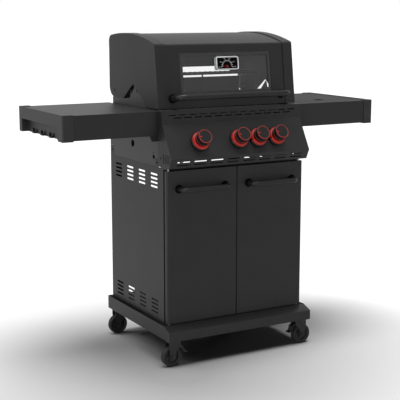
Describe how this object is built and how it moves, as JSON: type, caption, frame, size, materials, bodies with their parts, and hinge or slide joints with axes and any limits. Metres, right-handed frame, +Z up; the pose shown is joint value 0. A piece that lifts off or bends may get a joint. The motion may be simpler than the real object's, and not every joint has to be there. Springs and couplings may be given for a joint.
{
  "type": "gas barbecue grill",
  "caption": "Gas barbecue grill on a wheeled two-door cabinet, with a hinged windowed lid, a sloping control panel, turning knobs and side shelves, one with a side burner.",
  "frame": {"origin": "on the floor, under the middle of the grill's overall box", "axes": "+Z up, +X to the right for someone who faces the doors, +Y towards the back"},
  "size_m": [1.3, 0.5406, 1.1758],
  "materials": {
    "powder_coat": "fine-textured black powder coat",
    "cast_aluminium_painted": "cast aluminium, painted black",
    "enamelled_steel": "black enamel on steel",
    "cast_iron": "matt enamelled cast iron",
    "stainless_steel": "brushed",
    "chrome_wire": "plated wire",
    "galvanised_steel": "galvanised sheet",
    "zinc_plated_steel": "bright zinc plate",
    "brass": "machined",
    "red_trim": "glossy red",
    "black_plastic": "moulded black plastic",
    "white_plastic": "white nylon",
    "ceramic": "glazed ceramic",
    "black_tube": "satin black tube",
    "glass": "tempered, lightly tinted",
    "wheel_rubber": "hard rubber tread on a plastic hub"
  },
  "bodies": {
    "frame": {"base_tray": "powder_coat", "caster_plates": "zinc_plated_steel", "side_panels": "powder_coat", "cabinet_frame": "powder_coat", "door_hinge_pins": "white_plastic", "shoulder_plates": "powder_coat", "firebox": "enamelled_steel", "firebox_sides": "cast_aluminium_painted", "lid_hinge_pins": "zinc_plated_steel", "control_panel": "powder_coat", "panel_end_caps": "black_plastic", "knob_bezels": "red_trim", "gas_pipes": "zinc_plated_steel", "gas_valves": "brass", "main_burners": "stainless_steel", "flame_tamers": "stainless_steel", "cooking_grates": "cast_iron", "warming_rack": "chrome_wire", "tray_runners": "galvanised_steel", "shelf_left": "powder_coat", "shelf_right": "powder_coat", "shelf_end_caps": "black_plastic", "shelf_brackets": "powder_coat", "side_burner_bowl": "stainless_steel", "side_burner": "brass", "igniter_electrodes": "ceramic", "panel_screws": "zinc_plated_steel"},
    "lid": {"lid_shell": "powder_coat", "lid_ends": "cast_aluminium_painted", "lid_glass": "glass", "glass_frame": "enamelled_steel", "lid_handle": "black_tube", "thermometer": "stainless_steel"},
    "needle": {"thermometer_needle": "red_trim"},
    "left_door": {"door_left": "powder_coat", "door_handle_left": "black_tube"},
    "right_door": {"door_right": "powder_coat", "door_handle_right": "black_tube"},
    "stem_1": {"valve_stem_1": "brass"},
    "knob_1": {"knob_1": "black_plastic"},
    "stem_2": {"valve_stem_2": "brass"},
    "knob_2": {"knob_2": "black_plastic"},
    "stem_3": {"valve_stem_3": "brass"},
    "knob_3": {"knob_3": "black_plastic"},
    "stem_4": {"valve_stem_4": "brass"},
    "knob_4": {"knob_4": "black_plastic"},
    "drip_tray": {"drip_tray": "galvanised_steel"},
    "burner_cover": {"side_burner_cover": "powder_coat"},
    "fork_1": {"caster_fork_1": "powder_coat"},
    "wheel_1": {"caster_wheel_1": "wheel_rubber"},
    "pedal_1": {"brake_pedal_1": "powder_coat"},
    "fork_2": {"caster_fork_2": "powder_coat"},
    "wheel_2": {"caster_wheel_2": "wheel_rubber"},
    "pedal_2": {"brake_pedal_2": "powder_coat"},
    "fork_3": {"caster_fork_3": "powder_coat"},
    "wheel_3": {"caster_wheel_3": "wheel_rubber"},
    "pedal_3": {"brake_pedal_3": "powder_coat"},
    "fork_4": {"caster_fork_4": "powder_coat"},
    "wheel_4": {"caster_wheel_4": "wheel_rubber"},
    "pedal_4": {"brake_pedal_4": "powder_coat"}
  },
  "joints": [
    {"name": "lid_hinge", "type": "hinge", "parent": "frame", "child": "lid", "pos_m": [0, 0.21387, 0.963], "axis": [-1, 0, 0], "range_deg": [0, 88]},
    {"name": "needle_turn", "type": "hinge", "parent": "lid", "child": "needle", "pos_m": [0, -0.13328, 1.05907], "axis": [0, 0.9912, -0.1323], "range_deg": [0, 120], "stiffness_Nm_per_rad": 0.0002, "springref_deg": -28.65},
    {"name": "left_door_hinge", "type": "hinge", "parent": "frame", "child": "left_door", "pos_m": [-0.275, -0.19473, 0.148], "axis": [0, 0, -1], "range_deg": [0, 110]},
    {"name": "right_door_hinge", "type": "hinge", "parent": "frame", "child": "right_door", "pos_m": [0.275, -0.19473, 0.148], "axis": [0, 0, 1], "range_deg": [0, 110]},
    {"name": "knob_push_1", "type": "slide", "parent": "frame", "child": "stem_1", "axis": [0, 0.866, -0.5], "range_m": [0, 0.0035], "stiffness_N_per_m": 2000, "springref_m": -0.004},
    {"name": "knob_turn_1", "type": "hinge", "parent": "stem_1", "child": "knob_1", "pos_m": [-0.16, -0.21483, 0.80258], "axis": [0, -0.866, 0.5], "range_deg": [0, 180]},
    {"name": "knob_push_2", "type": "slide", "parent": "frame", "child": "stem_2", "axis": [0, 0.866, -0.5], "range_m": [0, 0.0035], "stiffness_N_per_m": 2000, "springref_m": -0.004},
    {"name": "knob_turn_2", "type": "hinge", "parent": "stem_2", "child": "knob_2", "pos_m": [0, -0.21483, 0.80258], "axis": [0, -0.866, 0.5], "range_deg": [0, 180]},
    {"name": "knob_push_3", "type": "slide", "parent": "frame", "child": "stem_3", "axis": [0, 0.866, -0.5], "range_m": [0, 0.0035], "stiffness_N_per_m": 2000, "springref_m": -0.004},
    {"name": "knob_turn_3", "type": "hinge", "parent": "stem_3", "child": "knob_3", "pos_m": [0.08, -0.21483, 0.80258], "axis": [0, -0.866, 0.5], "range_deg": [0, 180]},
    {"name": "knob_push_4", "type": "slide", "parent": "frame", "child": "stem_4", "axis": [0, 0.866, -0.5], "range_m": [0, 0.0035], "stiffness_N_per_m": 2000, "springref_m": -0.004},
    {"name": "knob_turn_4", "type": "hinge", "parent": "stem_4", "child": "knob_4", "pos_m": [0.16, -0.21483, 0.80258], "axis": [0, -0.866, 0.5], "range_deg": [0, 180]},
    {"name": "drip_tray_slide", "type": "slide", "parent": "frame", "child": "drip_tray", "axis": [0, 1, 0], "range_m": [0, 0.26]},
    {"name": "burner_cover_hinge", "type": "hinge", "parent": "frame", "child": "burner_cover", "pos_m": [0.476, 0.17497, 0.9058], "axis": [-1, 0, 0], "range_deg": [0, 100]},
    {"name": "caster_swivel_1", "type": "hinge", "parent": "frame", "child": "fork_1", "pos_m": [-0.272, -0.21873, 0.0942], "axis": [0, 0, 1], "continuous": true},
    {"name": "wheel_spin_1", "type": "hinge", "parent": "fork_1", "child": "wheel_1", "pos_m": [-0.28, -0.21873, 0.0375], "axis": [0, 1, 0], "continuous": true},
    {"name": "brake_pedal_1", "type": "hinge", "parent": "fork_1", "child": "pedal_1", "pos_m": [-0.255, -0.21873, 0.0812], "axis": [0, 1, 0], "range_deg": [0, 14]},
    {"name": "caster_swivel_2", "type": "hinge", "parent": "frame", "child": "fork_2", "pos_m": [0.272, -0.21873, 0.0942], "axis": [0, 0, 1], "continuous": true},
    {"name": "wheel_spin_2", "type": "hinge", "parent": "fork_2", "child": "wheel_2", "pos_m": [0.28, -0.21873, 0.0375], "axis": [0, 1, 0], "continuous": true},
    {"name": "brake_pedal_2", "type": "hinge", "parent": "fork_2", "child": "pedal_2", "pos_m": [0.255, -0.21873, 0.0812], "axis": [0, -1, 0], "range_deg": [0, 14]},
    {"name": "caster_swivel_3", "type": "hinge", "parent": "frame", "child": "fork_3", "pos_m": [-0.272, 0.23427, 0.0942], "axis": [0, 0, 1], "continuous": true},
    {"name": "wheel_spin_3", "type": "hinge", "parent": "fork_3", "child": "wheel_3", "pos_m": [-0.28, 0.23427, 0.0375], "axis": [0, 1, 0], "continuous": true},
    {"name": "brake_pedal_3", "type": "hinge", "parent": "fork_3", "child": "pedal_3", "pos_m": [-0.255, 0.23427, 0.0812], "axis": [0, 1, 0], "range_deg": [0, 14]},
    {"name": "caster_swivel_4", "type": "hinge", "parent": "frame", "child": "fork_4", "pos_m": [0.272, 0.23427, 0.0942], "axis": [0, 0, 1], "continuous": true},
    {"name": "wheel_spin_4", "type": "hinge", "parent": "fork_4", "child": "wheel_4", "pos_m": [0.28, 0.23427, 0.0375], "axis": [0, 1, 0], "continuous": true},
    {"name": "brake_pedal_4", "type": "hinge", "parent": "fork_4", "child": "pedal_4", "pos_m": [0.255, 0.23427, 0.0812], "axis": [0, -1, 0], "range_deg": [0, 14]}
  ]
}
